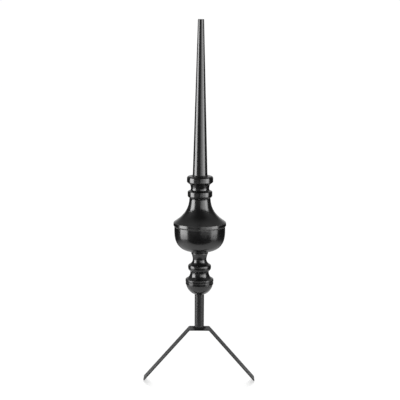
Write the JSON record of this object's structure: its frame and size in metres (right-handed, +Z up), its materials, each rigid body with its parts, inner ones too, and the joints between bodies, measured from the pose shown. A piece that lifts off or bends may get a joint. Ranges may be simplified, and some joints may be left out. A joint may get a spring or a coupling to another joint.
{
  "type": "roof finial",
  "caption": "Tall roof finial with a tapering spire, collared bell, round bowl, turned stem and half ball, on a tube welded to a bent-strap ridge saddle.",
  "frame": {"origin": "point midway between the saddle's two feet, on the plane that they stand on, straight below the finial's axis", "axes": "+Z up along the finial's axis, towards the spire's tip; +X across the ridge, from foot to foot; +Y along the ridge, across the strap's width"},
  "size_m": [0.2974, 0.1386, 0.957],
  "materials": {
    "body_paint": "satin",
    "bracket_paint": "matte"
  },
  "bodies": {
    "root": {"spire": "body_paint", "bell_cap": "body_paint", "bowl": "body_paint", "stem": "body_paint", "base_ball": "body_paint", "mount_tube": "bracket_paint", "ridge_saddle": "bracket_paint"}
  },
  "joints": []
}
